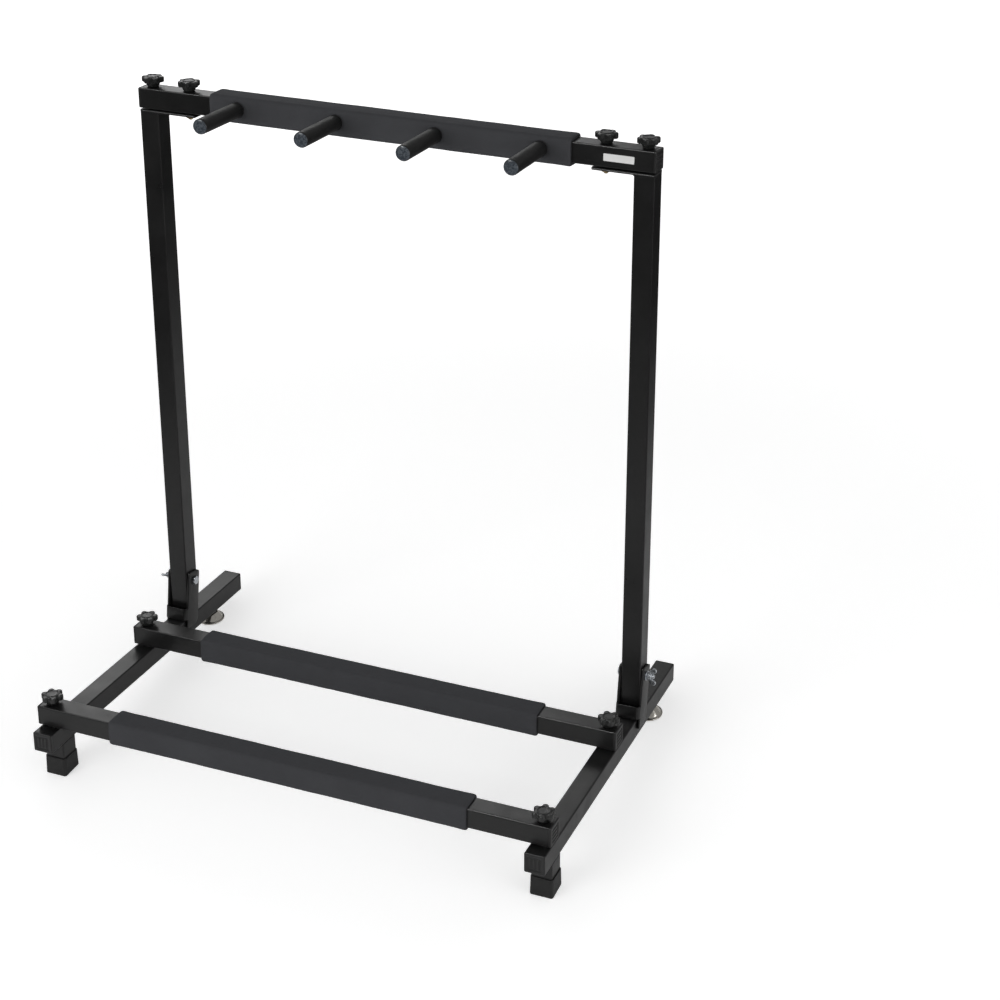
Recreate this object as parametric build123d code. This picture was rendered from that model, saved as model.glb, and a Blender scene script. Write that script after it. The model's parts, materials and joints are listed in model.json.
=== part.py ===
from build123d import *
import math
import os

os.makedirs("parts", exist_ok=True)

# Guitar rack: a folding floor rack. Two sloping base legs carry two padded
# crossbars. Two uprights hinge on the legs and carry a padded top bar with
# four neck pegs. All lengths are millimetres, all angles are degrees.
#
# The members are laid out in the legs' own frame and set down on the floor by
# place(): X runs across the rack (left is -X), Y runs from the front end of the
# legs to the rear, Z is square to the legs, and Z = 0 is the plane through the
# centres of the front foot soles.

# ---------------------------------------------------------------- dimensions
SIDES = ((-1, "left"), (1, "right"))

TUBE = 25.0             # side of the square steel tube used throughout
WALL = 1.5              # tube wall
TUBE_R = 1.7            # outer corner radius of the tube
TUBE_RI = 0.5           # inner corner radius of the tube
HALF = TUBE / 2
BORE = TUBE - 2 * WALL  # clear width inside the tube

LEG_SLOPE = 4.4         # the legs fall by this angle towards the rear
FLOOR_LIFT = 2.63       # brings the centres of the front soles to the floor
ORIGIN_Y = 221.60       # layout depth that becomes Y = 0, the footprint centre

LEG_X = 316.8           # leg and upright centre planes
LEG_LEN = 436.0         # leg length over both end plugs
LEG_BOT = 42.8          # underside of the legs
LEG_TOP = LEG_BOT + TUBE
LEG_MID = LEG_BOT + HALF

BAR_HALF = 330.7        # half length of a crossbar over both end plugs
BAR_ROWS = ((26.4, "front"), (228.6, "rear"))   # centre Y of the base crossbars
NUT_GAP = 2.9           # crossbars stand on weld nuts of this height
BAR_BOT = LEG_TOP + NUT_GAP
BAR_TOP = BAR_BOT + TUBE
SLEEVE_HALF = 230.2     # half length of the foam sleeves
FOAM = 3.2              # wall of the foam sleeves on the base
TOP_FOAM = 4.2          # wall of the foam sleeve on the top bar

M6_R = 3.0              # hinge bolts and knob studs
HOLE_RUN = M6_R + 0.06  # holes that turn on an M6 bolt or stud
HOLE_FREE = M6_R + 0.5  # clearance holes for M6
M8_R = 4.0              # levelling studs
M8_NUT_AF = 13          # across flats
M6_NUT_AF = 10
WASHER_R = 6.0
WASHER_BORE = M6_R + 0.2

LEVEL_Y = 375.9         # levelling feet

PIVOT_Y = 316.0         # hinge axis, also the depth of uprights and top bar
PIVOT_UP = 50.8         # hinge axis above the top of the leg
PIVOT_Z = LEG_TOP + PIVOT_UP
SHEET = 3.0             # bracket sheet
EAR_GAP = 25.8          # clear width between the bracket's ears
EAR_OUT = EAR_GAP / 2 + SHEET   # outer face of an ear from the bracket's middle
EAR_LAP = 12.3          # ear below the top of the leg

UPRIGHT_GAP = 3.0       # upright's lower end above the leg
TOP_BAR_TOP = 785.6     # top of the top crossbar
TOP_BAR_BOT = TOP_BAR_TOP - TUBE
TOP_BAR_MID = TOP_BAR_BOT + HALF
SPACER = 1.6            # washers between plate and top bar
PLATE_T = 3.0           # top plates
PLATE_TOP = TOP_BAR_BOT - SPACER
UPRIGHT_TOP = PLATE_TOP - PLATE_T
PLATE_NUT_H = 3.2       # weld nuts under the top plates
INNER_KNOB_X = 267.0    # inner top knobs

# ------------------------------------------------------------------- helpers


def place(shape):
    """From the legs' frame to the standing frame: floor at Z = 0."""
    return Pos(0, -ORIGIN_Y, FLOOR_LIFT) * Rot(-LEG_SLOPE, 0, 0) * shape


def save(name, *shapes):
    """Write shapes that already lie in the standing frame."""
    solids = []
    for shape in shapes:
        solids.extend(shape.solids())
    part = solids[0] if len(solids) == 1 else Compound(solids)
    part.label = name
    export_step(part, "parts/" + name + ".step")


def save_placed(name, *shapes):
    """Write shapes laid out in the legs' frame."""
    save(name, *[place(shape) for shape in shapes])


def square(side, radius):
    return RectangleRounded(side, side, radius)


def tube_z(length):
    """Square tube standing on Z = 0."""
    return extrude(square(TUBE, TUBE_R) - square(BORE, TUBE_RI), amount=length)


def cyl(radius, height, at, axis="Z"):
    """Cylinder centred on a point."""
    turn = {"Z": Rot(0, 0, 0), "X": Rot(0, 90, 0), "Y": Rot(90, 0, 0)}[axis]
    return Pos(*at) * turn * Cylinder(radius, height)


def circles(shape):
    return shape.edges().filter_by(GeomType.CIRCLE)


def top_edges(shape):
    return shape.faces().sort_by(Axis.Z)[-1].edges()


def bottom_edges(shape):
    return shape.faces().sort_by(Axis.Z)[0].edges()


def hex_nut(across_flats, height, bore):
    """Hexagonal nut standing on Z = 0, chamfered on both faces."""
    body = extrude(RegularPolygon(across_flats / 2, 6, major_radius=False), amount=height)
    limit = Cylinder(across_flats / math.sqrt(3) - 0.05, height)
    limit = chamfer(circles(limit), 0.7)
    return (body & Pos(0, 0, height / 2) * limit) - Cylinder(bore, 3 * height)


def washer(thickness):
    """M6 washer standing on Z = 0."""
    ring = Cylinder(WASHER_R, thickness) - Cylinder(WASHER_BORE, 2 * thickness)
    return Pos(0, 0, thickness / 2) * ring


def weld_bead(radius, length, side):
    """Quarter-round bead along Y, below Z = 0 and on the given side of X = 0."""
    reach = 10
    quarter = Pos(side * reach / 2, 0, -reach / 2) * Box(reach, 60, reach)
    return Rot(90, 0, 0) * Cylinder(radius, length) & quarter


# ------------------------------------------------------------------ end plugs
PLUG_RIM = 3.0          # visible thickness of an end plug
PLUG_DEPTH = 7.0        # length of plug pushed into the tube
PLUG_WALL = 1.6         # wall of the pushed-in skirt
PLUG_RIB = 1.4          # thickness of the cross ribs in the skirt
PANEL_SIDE = 17.6       # sunk panel in the plug's face
PANEL_DEPTH = 0.7
PANEL_BARS_X = (-4.8, 0.0, 4.8)


def make_plug():
    """End plug: the rim lies above Z = 0, the insert points down."""
    rim = extrude(square(TUBE, TUBE_R), amount=PLUG_RIM)
    rim = fillet(top_edges(rim), 1.4)
    # shallow panel in the face with three raised bars in it
    panel = square(PANEL_SIDE, 2.0)
    for x in PANEL_BARS_X:
        panel -= Pos(x, 0) * RectangleRounded(1.9, 13.2, 0.9)
    rim -= Pos(0, 0, PLUG_RIM - PANEL_DEPTH) * extrude(panel, amount=2)
    skirt = square(BORE, 1.2) - square(BORE - 2 * PLUG_WALL, 0.8)
    body = rim + Pos(0, 0, -PLUG_DEPTH) * extrude(skirt, amount=PLUG_DEPTH)
    rib_depth = PLUG_DEPTH - 2
    rib_len = BORE - 2
    ribs = Box(rib_len, PLUG_RIB, rib_depth) + Box(PLUG_RIB, rib_len, rib_depth)
    return body + Pos(0, 0, -rib_depth / 2) * ribs


PLUG = make_plug()

# ------------------------------------------------------------------ base legs
leg_plugs = []
for side, hand in SIDES:
    x = side * LEG_X
    leg = Pos(x, PLUG_RIM, LEG_MID) * Rot(-90, 0, 0) * tube_z(LEG_LEN - 2 * PLUG_RIM)
    for y, _ in BAR_ROWS:
        leg -= cyl(HOLE_FREE, 4 * WALL, (x, y, LEG_TOP))
    leg -= cyl(M8_R + 0.4, 4 * WALL, (x, LEVEL_Y, LEG_BOT))
    save_placed("leg_" + hand, leg)

    leg_plugs.append(Pos(x, PLUG_RIM, LEG_MID) * Rot(90, 0, 0) * PLUG)
    leg_plugs.append(Pos(x, LEG_LEN - PLUG_RIM, LEG_MID) * Rot(-90, 0, 0) * PLUG)
save_placed("leg_plugs", *leg_plugs)

# ----------------------------------------------------------------- front feet
STUB_Y = 34.3           # centre of the front feet
STUB_END = 3.8          # lower end of the foot stub inside its cap
CAP_TOP = 22.9          # upper edge of the foot cap
CAP_SIDE_TOP = 27.4     # cap width at its upper edge
CAP_SIDE_FLOOR = 28.4   # cap width at Z = 0
CAP_LOW = -6.0          # the cap is made down to here, then cut at the floor
CAP_R = 3.0             # corner radius of the cap


def foot_cap(x):
    """Cap moulded square to the stub, its sole cut flat on the floor."""
    widening = (CAP_SIDE_FLOOR - CAP_SIDE_TOP) * (CAP_TOP - CAP_LOW) / CAP_TOP
    cap = loft([Pos(0, 0, CAP_LOW) * square(CAP_SIDE_TOP + widening, CAP_R),
                Pos(0, 0, CAP_TOP) * square(CAP_SIDE_TOP, CAP_R)])
    socket = Pos(0, 0, STUB_END) * extrude(square(TUBE, TUBE_R), amount=40)
    cap = place(Pos(x, STUB_Y, 0) * (cap - socket))
    cap = cap - Pos(x, 0, -25) * Box(200, 2000, 50)
    return fillet(cap.faces().sort_by(Axis.Z)[0].outer_wire().edges(), 1.2)


for side, hand in SIDES:
    x = side * LEG_X
    save_placed("foot_stub_" + hand, Pos(x, STUB_Y, STUB_END) * tube_z(LEG_BOT - STUB_END))
    save("foot_cap_" + hand, foot_cap(x))

# ------------------------------------------------------------ levelling feet
BALL_UP = 5.6           # height of the swivel ball's centre above the floor
BALL_R = 4.5
NECK_R = 3.0            # neck between ball and stud
NECK_LEN = 6.4          # from the ball's centre
STUD_RISE = 9.5         # stud above the leg's lower wall
DISC_R = 17.6           # radius of the levelling disc
CUP_TOP = 11.2          # top of the disc's dome above the floor
INNER_NUT_H = 6.5       # nut inside the leg
OUTER_NUT_H = 4.0       # nut under the leg

# the ball's centre: Z in the legs' frame, Y in the standing frame
slope = math.radians(LEG_SLOPE)
ball_z = (BALL_UP - FLOOR_LIFT + LEVEL_Y * math.sin(slope)) / math.cos(slope)
disc_y = LEVEL_Y * math.cos(slope) + ball_z * math.sin(slope) - ORIGIN_Y


def leveller_stud():
    """Ball, neck and threaded shank about X = Y = 0."""
    stud_top = LEG_BOT + WALL + STUD_RISE
    neck_top = ball_z + NECK_LEN
    stud = Pos(0, 0, ball_z) * Sphere(BALL_R)
    stud += Pos(0, 0, (ball_z + neck_top) / 2) * Cylinder(NECK_R, neck_top - ball_z)
    shank = Cylinder(M8_R, stud_top - neck_top)
    shank = chamfer(circles(shank), 0.6)
    return stud + Pos(0, 0, (stud_top + neck_top) / 2) * shank


def leveller_disc():
    """Disc with a rolled rim, a domed cup and a ball socket, on Z = 0."""
    rim_foot = (DISC_R - 1.0, 0.0)
    rim_top = (DISC_R - 1.1, 2.3)
    cup_edge = (7.2, CUP_TOP)
    # half section, points are (radius, height)
    with BuildSketch(Plane.XZ) as profile:
        with BuildLine():
            Polyline((0, 1.0), (11.0, 1.0), (12.0, 0.0), rim_foot)
            Spline(rim_foot, (DISC_R, 1.1), rim_top, tangents=((1, 0), (-1, 0.05)))
            Spline(rim_top, (14.6, 3.6), (10.6, 8.6), cup_edge,
                   tangents=((-1, 0.05), (-1, 0.25)))
            Polyline(cup_edge, (0, CUP_TOP), (0, 1.0))
        make_face()
    disc = revolve(profile.sketch, Axis.Z)
    disc -= Pos(0, 0, BALL_UP) * Sphere(BALL_R + 0.05)
    disc -= Pos(0, 0, BALL_UP + 5) * Cylinder(3.9, 10)
    return disc


level_nuts = []
for side, hand in SIDES:
    x = side * LEG_X
    save_placed("leveller_stud_" + hand, Pos(x, LEVEL_Y, 0) * leveller_stud())
    save("leveller_disc_" + hand, Pos(x, disc_y, 0) * leveller_disc())
    for z, height in ((LEG_BOT + WALL, INNER_NUT_H), (LEG_BOT - OUTER_NUT_H, OUTER_NUT_H)):
        level_nuts.append(Pos(x, LEVEL_Y, z) * hex_nut(M8_NUT_AF, height, M8_R + 0.05))
save_placed("leveller_nuts", *level_nuts)

# ------------------------------------------------------------ hinge brackets
EAR_HALF_W = 12.0       # half width of an ear
EAR_RAKE = 8.0          # the ears lean to the rear by this angle
EAR_TOP = 12.3          # ear above the pivot
EAR_TOP_FRONT = 1.6     # the top edge rises by this at the front
EAR_TOP_REAR = -2.6     # and drops by this at the rear
WEB_LOW = 1.4           # lower edge of the front web above the leg
WEB_HIGH = 16.2         # upper edge of the front web above the leg
BEND_R = 5.0            # outer bend radius of the bracket
WEB_REACH = BEND_R + 0.3    # web's outer face in front of the ears
HINGE_BEAD_R = 1.9
BEAD_INSET_FRONT = 1.5  # bead ends in from the ear's edges
BEAD_INSET_REAR = 9.5

rake_cos = math.cos(math.radians(EAR_RAKE))
rake_tan = math.tan(math.radians(EAR_RAKE))


def ear_front(z):
    """Depth of an ear's front edge at height z above the leg."""
    return PIVOT_Y - EAR_HALF_W / rake_cos + (z - PIVOT_UP) * rake_tan


def ear_rear(z):
    return ear_front(z) + 2 * EAR_HALF_W / rake_cos


def cross_edges(ear):
    return ear.edges().filter_by(Axis.X)


def bracket_ear():
    """One ear about X = 0, with Z = 0 at the top of the leg."""
    top_front = PIVOT_UP + EAR_TOP + EAR_TOP_FRONT
    top_rear = PIVOT_UP + EAR_TOP + EAR_TOP_REAR
    outline = make_face(Polyline(
        (ear_front(-EAR_LAP), -EAR_LAP), (ear_rear(-EAR_LAP), -EAR_LAP),
        (ear_rear(top_rear), top_rear), (ear_front(top_front), top_front), close=True))
    ear = Pos(-SHEET / 2, 0, 0) * extrude(Plane.YZ * outline, amount=SHEET)
    # lower rear corner, then upper front, then upper rear
    lower = cross_edges(ear).sort_by(Axis.Z)[:2]
    ear = fillet([max(lower, key=lambda e: e.center().Y)], 9.0)
    upper = cross_edges(ear).sort_by(Axis.Z)[-2:]
    ear = fillet([min(upper, key=lambda e: e.center().Y)], 2.0)
    last = max(cross_edges(ear), key=lambda e: e.center().Z + e.center().Y * 0.5)
    return fillet([last], 4.5)


def bracket_web():
    """Front web: a raked channel section cut off between two levels."""
    depth = 32          # of the full rounded section, more than is kept
    outer = Pos(0, depth / 2) * RectangleRounded(2 * EAR_OUT, depth, BEND_R)
    inner = Pos(0, depth / 2 + SHEET) * RectangleRounded(
        2 * EAR_OUT - 2 * SHEET, depth, BEND_R - SHEET)
    section = (outer - inner) & (Pos(0, BEND_R) * Rectangle(100, 2 * WEB_REACH))
    prism = Rot(-EAR_RAKE, 0, 0) * Pos(0, 0, -30) * extrude(section, amount=60)
    mid_z = (WEB_LOW + WEB_HIGH) / 2
    prism = Pos(0, ear_front(mid_z) - WEB_REACH / rake_cos, mid_z) * prism
    return prism & Pos(0, PIVOT_Y, mid_z) * Box(100, 200, WEB_HIGH - WEB_LOW)


def hinge_bracket():
    """Bent sheet bracket about X = 0: two ears and a low front web."""
    ear = bracket_ear()
    offset = EAR_GAP / 2 + SHEET / 2
    body = Pos(-offset, 0, 0) * ear + Pos(offset, 0, 0) * ear
    body = body + bracket_web()
    body -= cyl(HOLE_RUN, 100, (0, PIVOT_Y, PIVOT_UP), "X")
    return Pos(0, 0, LEG_TOP) * body


BRACKET = hinge_bracket()
for side, hand in SIDES:
    save_placed("hinge_bracket_" + hand, Pos(side * LEG_X, 0, 0) * BRACKET)

# weld beads between the bracket's lower edges and the sides of the leg
bead_front = ear_front(-EAR_LAP) + BEAD_INSET_FRONT
bead_rear = ear_rear(-EAR_LAP) - BEAD_INSET_REAR
hinge_beads = []
for side, _ in SIDES:
    for face in (-1, 1):
        at = Pos(side * LEG_X + face * HALF, (bead_front + bead_rear) / 2, LEG_TOP - EAR_LAP)
        hinge_beads.append(at * weld_bead(HINGE_BEAD_R, bead_rear - bead_front, face))
save_placed("hinge_welds", *hinge_beads)

# ------------------------------------------------------------- hinge hardware
HINGE_WASHER_T = 1.2
BOLT_AF = 10.0          # bolt head across flats
BOLT_HEAD_H = 4.0
BOLT_SPARE = 3.0        # bolt beyond the wing nut's hub
WING_HUB = 6.0          # hub height
WING_H = 11.5           # height over the wings
WING_SPAN = 22.0
WING_T = 2.4
WING_LOBE_R = 3.2       # rounded wing tips
WING_TURN = {"left": 111.3, "right": 172.0}


def hex_bolt(grip):
    """Head below Z = 0, shank up from Z = 0."""
    head = extrude(RegularPolygon(BOLT_AF / 2, 6, major_radius=False), amount=BOLT_HEAD_H)
    crown = Pos(0, 0, BOLT_HEAD_H / 2) * Cylinder(5.7, BOLT_HEAD_H)
    crown = chamfer(top_edges(crown), 0.9)
    head = Rot(180, 0, 0) * (head & crown)
    shank = Cylinder(M6_R, grip)
    shank = chamfer(top_edges(shank), 0.7)
    return head + Pos(0, 0, grip / 2) * shank


def tangent_point(x, z, centre_x, centre_z, radius, turn):
    """Where the line from (x, z) touches a circle."""
    distance = math.hypot(x - centre_x, z - centre_z)
    base = math.atan2(z - centre_z, x - centre_x)
    angle = base + turn * math.acos(radius / distance)
    return (centre_x + radius * math.cos(angle), centre_z + radius * math.sin(angle))


def wing_nut():
    """Seat on Z = 0, wings along X and upwards."""
    hub = Pos(0, 0, WING_HUB / 2) * Cone(5.0, 4.3, WING_HUB)
    tip_x, tip_z = WING_SPAN / 2 - WING_LOBE_R, WING_H - WING_LOBE_R
    # the wing's roots, overlapping the hub
    root = (3.5, 0.8)
    root_low = (4.4, 0.8)
    root_high = (3.5, WING_HUB - 0.2)
    touch_low = tangent_point(*root_low, tip_x, tip_z, WING_LOBE_R, 1)
    touch_high = tangent_point(*root_high, tip_x, tip_z, WING_LOBE_R, -1)
    tip = (tip_x + WING_LOBE_R * 0.8, tip_z + WING_LOBE_R * 0.6)
    outline = Polyline(root, root_low, touch_low) + ThreePointArc(
        touch_low, tip, touch_high) + Polyline(touch_high, root_high, root)
    wing = extrude(Plane.XZ * make_face(outline), amount=WING_T / 2, both=True)
    rim = [e for e in wing.edges()
           if abs(abs(e.center().Y) - WING_T / 2) < 0.01 and e.center().X > 4.7]
    wing = fillet(rim, 0.8)
    body = hub + wing + Rot(0, 0, 180) * wing
    return body - Cylinder(HOLE_RUN, 60)


WING = wing_nut()
BOLT = hex_bolt(2 * EAR_OUT + HINGE_WASHER_T + WING_HUB + BOLT_SPARE)
hinge_washers = []
for side, hand in SIDES:
    # local Z points outboard: bolt heads lie inboard, wing nuts outboard
    at = Pos(side * LEG_X, PIVOT_Y, PIVOT_Z) * Rot(0, 90 * side, 0)
    save_placed("hinge_bolt_" + hand, at * Pos(0, 0, -EAR_OUT) * Rot(0, 0, 30) * BOLT)
    hinge_washers.append(at * Pos(0, 0, EAR_OUT) * washer(HINGE_WASHER_T))
    save_placed("wing_nut_" + hand,
                at * Pos(0, 0, EAR_OUT + HINGE_WASHER_T) * Rot(0, 0, WING_TURN[hand]) * WING)
save_placed("hinge_washers", *hinge_washers)

# --------------------------------------------------------------- crossbars


def crossbar(y, z, holes_x):
    """Crossbar about X = 0 with clearance holes through both walls."""
    half = BAR_HALF - PLUG_RIM
    bar = Pos(0, y, z) * (Pos(-half, 0, 0) * Rot(0, 90, 0) * tube_z(2 * half))
    for x in holes_x:
        bar -= cyl(HOLE_FREE, 2 * TUBE, (x, y, z))
    return bar


def bar_plugs(y, z):
    return [Pos(side * (BAR_HALF - PLUG_RIM), y, z) * Rot(0, 90 * side, 0) * PLUG
            for side, _ in SIDES]


def sleeve(y, z, wall):
    """Foam sleeve about X = 0 with rounded outer ends."""
    face = square(TUBE + 2 * wall, TUBE_R + 2.8) - square(TUBE, TUBE_R)
    body = extrude(face, amount=2 * SLEEVE_HALF)
    ends = body.faces().filter_by(Axis.Z)
    body = fillet([e for end in ends for e in end.outer_wire().edges()], 1.0)
    return Pos(-SLEEVE_HALF, y, z) * Rot(0, 90, 0) * body


bar_mid = BAR_BOT + HALF
base_plugs, leg_nuts = [], []
for y, row in BAR_ROWS:
    save_placed(row + "_crossbar", crossbar(y, bar_mid, (-LEG_X, LEG_X)))
    save_placed(row + "_sleeve", sleeve(y, bar_mid, FOAM))
    base_plugs += bar_plugs(y, bar_mid)
    for side, _ in SIDES:
        leg_nuts.append(Pos(side * LEG_X, y, LEG_TOP) * hex_nut(M8_NUT_AF, NUT_GAP, HOLE_RUN))
save_placed("crossbar_plugs", *base_plugs)
save_placed("leg_weld_nuts", *leg_nuts)

# ---------------------------------------------------------------- knobs
KNOB_R = 13.4           # lobe tips
KNOB_CORE = 9.6         # body between lobes
KNOB_LOBES = 6
LOBE_R = 3.9
COLLAR_R = 6.4          # collar at its seat
COLLAR_TOP_R = 9.2      # collar inside the head
COLLAR_H = 5.8
COLLAR_SINK = 0.6       # collar runs up into the head
HEAD_H = 7.0            # lobed part of the head
BOSS_R = 8.0            # round boss in the middle of the head
BOSS_H = 0.8
BOSS_SINK = 2           # boss runs down into the head
STUD_SINK = 10.5        # stud inside the head
BASE_STUD_SPARE = 4.5   # stud below the crossbar's weld nut
TOP_STUD_SPARE = 2.6    # stud below the plate's weld nut
KNOB_TURN = {
    "front_left": 12, "front_right": 41, "rear_left": 25, "rear_right": 5,
    "top_left_outer": 18, "top_left_inner": 48,
    "top_right_inner": 8, "top_right_outer": 33,
}


def polar(radius, angle):
    return (radius * math.cos(angle), radius * math.sin(angle))


def lobed_face():
    """Outline of lobe arcs joined by tangent hollow arcs."""
    lobe_c = KNOB_R - LOBE_R            # radius of the lobe centres
    half_step = math.pi / KNOB_LOBES
    near, aside = lobe_c * math.cos(half_step), lobe_c * math.sin(half_step)
    rise = KNOB_CORE - near
    dip_r = (rise * rise + aside * aside - LOBE_R * LOBE_R) / (2 * (LOBE_R - rise))
    dip_c = KNOB_CORE + dip_r           # radius of the hollow centres
    touch = LOBE_R / (LOBE_R + dip_r)

    def joint(lobe_angle, dip_angle):
        """Where a lobe arc meets a hollow arc."""
        lobe, dip = polar(lobe_c, lobe_angle), polar(dip_c, dip_angle)
        return (lobe[0] + (dip[0] - lobe[0]) * touch, lobe[1] + (dip[1] - lobe[1]) * touch)

    arcs = []
    for i in range(KNOB_LOBES):
        angle = 2 * half_step * i
        dip_angle = angle + half_step
        start = joint(angle, angle - half_step)
        end = joint(angle, dip_angle)
        next_start = joint(angle + 2 * half_step, dip_angle)
        arcs.append(ThreePointArc(start, polar(KNOB_R, angle), end))
        arcs.append(ThreePointArc(end, polar(KNOB_CORE, dip_angle), next_start))
    return make_face(arcs)


def knob_head():
    """Six-lobed knob with a tapered collar standing on Z = 0."""
    head = Pos(0, 0, COLLAR_H) * extrude(lobed_face(), amount=HEAD_H)
    head = fillet(top_edges(head), 1.5)
    head = chamfer(bottom_edges(head), 1.1)
    boss_len = BOSS_SINK + BOSS_H
    boss_top = COLLAR_H + HEAD_H + BOSS_H
    boss = Cylinder(BOSS_R, boss_len)
    boss = fillet(top_edges(boss), 0.5)
    boss = Pos(0, 0, boss_top - boss_len / 2) * boss
    boss -= Pos(0, 0, boss_top) * Cylinder(BOSS_R - 1.6, 1.2)
    collar_len = COLLAR_H + COLLAR_SINK
    collar = Pos(0, 0, collar_len / 2) * Cone(COLLAR_R, COLLAR_TOP_R, collar_len)
    body = head + boss + collar
    # stud hole, cut from 2 below the seat
    return body - Pos(0, 0, (STUD_SINK - 2) / 2) * Cylinder(M6_R, STUD_SINK + 2)


def knob_stud(length):
    """Stud from inside the head to the given length below Z = 0."""
    rod = Cylinder(M6_R, length + STUD_SINK)
    rod = chamfer(bottom_edges(rod), 1.4)
    return Pos(0, 0, (STUD_SINK - length) / 2) * rod


HEAD = knob_head()
BASE_STUD = knob_stud(TUBE + NUT_GAP + BASE_STUD_SPARE)
TOP_STUD = knob_stud(TUBE + SPACER + PLATE_T + PLATE_NUT_H + TOP_STUD_SPARE)


def save_knob(key, x, y, z, stud):
    at = Pos(x, y, z) * Rot(0, 0, KNOB_TURN[key])
    save_placed("knob_head_" + key, at * HEAD)
    save_placed("knob_stud_" + key, at * stud)


for side, hand in SIDES:
    for y, row in BAR_ROWS:
        save_knob(row + "_" + hand, side * LEG_X, y, BAR_TOP, BASE_STUD)
    for x, spot in ((LEG_X, "outer"), (INNER_KNOB_X, "inner")):
        save_knob("top_" + hand + "_" + spot, side * x, PIVOT_Y, TOP_BAR_TOP, TOP_STUD)

# ------------------------------------------------- uprights and top plates
PLATE_IN = 253.8        # inner end of a top plate
PLATE_BEAD_R = 2.1
PLATE_BEAD_LEN = TUBE - 6


def top_plate(side):
    """Plate from the upright's outer face inboard, with two stud holes."""
    x_out, x_in = side * (LEG_X + HALF), side * PLATE_IN
    plate = Box(abs(x_out - x_in), TUBE, PLATE_T)
    plate = fillet(plate.edges().filter_by(Axis.Z), 1.2)
    plate = fillet(bottom_edges(plate), 0.8)
    plate = Pos((x_out + x_in) / 2, PIVOT_Y, UPRIGHT_TOP + PLATE_T / 2) * plate
    for x in (side * LEG_X, side * INNER_KNOB_X):
        plate -= cyl(HOLE_FREE, 20, (x, PIVOT_Y, UPRIGHT_TOP))
    return plate


plate_nuts, spacers, plate_beads = [], [], []
for side, hand in SIDES:
    x = side * LEG_X
    upright_base = LEG_TOP + UPRIGHT_GAP
    upright = Pos(x, PIVOT_Y, upright_base) * tube_z(UPRIGHT_TOP - upright_base)
    upright -= cyl(HOLE_RUN, 2 * TUBE, (x, PIVOT_Y, PIVOT_Z), "X")
    save_placed("upright_" + hand, upright)
    save_placed("top_plate_" + hand, top_plate(side))

    for hole_x in (x, side * INNER_KNOB_X):
        plate_nuts.append(Pos(hole_x, PIVOT_Y, UPRIGHT_TOP - PLATE_NUT_H)
                          * hex_nut(M6_NUT_AF, PLATE_NUT_H, HOLE_RUN))
        spacers.append(Pos(hole_x, PIVOT_Y, PLATE_TOP) * washer(SPACER))

    # weld under the plate along the upright's inner face
    plate_beads.append(Pos(x - side * HALF, PIVOT_Y, UPRIGHT_TOP)
                       * weld_bead(PLATE_BEAD_R, PLATE_BEAD_LEN, -side))
save_placed("plate_weld_nuts", *plate_nuts)
save_placed("spacer_washers", *spacers)
save_placed("plate_welds", *plate_beads)

# ------------------------------------------------------ top bar and neck pegs
PEG_X = (-193.3, -63.5, 63.5, 193.3)
PEG_Z = TOP_BAR_MID + 1.1   # peg axis, a little above the bar's centre
PEG_R = 9.4             # cover radius
PEG_ROD_R = 4.5         # steel rod radius
PEG_LEN = 82.5          # cover length in front of the sleeve
PEG_CAP = 5.0           # cover thickness over the rod's end
PEG_EDGE = 3.0          # rounding of the cover's tip

bar_front = PIVOT_Y - HALF
sleeve_front = bar_front - TOP_FOAM
rod_back = PIVOT_Y + HALF - WALL    # inside of the bar's rear wall
rod_len = rod_back - (sleeve_front - PEG_LEN + PEG_CAP)


def peg_rod():
    """Rod about the origin, its front end up."""
    rod = Cylinder(PEG_ROD_R, rod_len)
    return chamfer(top_edges(rod), 0.8)


def peg_cover():
    """Cover about the origin, its closed tip up."""
    cover = Cylinder(PEG_R, PEG_LEN)
    cover = fillet(top_edges(cover), PEG_EDGE)
    return cover - Pos(0, 0, -PEG_CAP / 2) * Cylinder(PEG_ROD_R, PEG_LEN - PEG_CAP)


top_bar = crossbar(PIVOT_Y, TOP_BAR_MID, (-LEG_X, -INNER_KNOB_X, INNER_KNOB_X, LEG_X))
top_foam = sleeve(PIVOT_Y, TOP_BAR_MID, TOP_FOAM)
rods = []
for number, x in enumerate(PEG_X, 1):
    top_bar -= cyl(PEG_ROD_R, 10, (x, bar_front, PEG_Z), "Y")
    top_foam -= cyl(PEG_ROD_R, 10, (x, sleeve_front + TOP_FOAM / 2, PEG_Z), "Y")
    rods.append(Pos(x, rod_back - rod_len / 2, PEG_Z) * Rot(90, 0, 0) * peg_rod())
    save_placed("peg_cover_%d" % number,
                Pos(x, sleeve_front - PEG_LEN / 2, PEG_Z) * Rot(90, 0, 0) * peg_cover())
save_placed("peg_rods", *rods)
save_placed("top_crossbar", top_bar)
save_placed("top_sleeve", top_foam)
save_placed("top_crossbar_plugs", *bar_plugs(PIVOT_Y, TOP_BAR_MID))

# ---------------------------------------------------------------- blank label
LABEL_X0, LABEL_X1 = 267.0, 303.8   # on the top bar's front face, right end
LABEL_H = 11.3
LABEL_T = 0.3

label = Box(LABEL_X1 - LABEL_X0, LABEL_T, LABEL_H)
label = fillet(label.edges().filter_by(Axis.Y), 1.0)
save_placed("blank_label",
            Pos((LABEL_X0 + LABEL_X1) / 2, bar_front - LABEL_T / 2, TOP_BAR_MID) * label)
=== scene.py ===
import bpy
import bmesh
import json
import math
import random
import numpy as np
from mathutils import Matrix, Vector, noise


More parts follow.
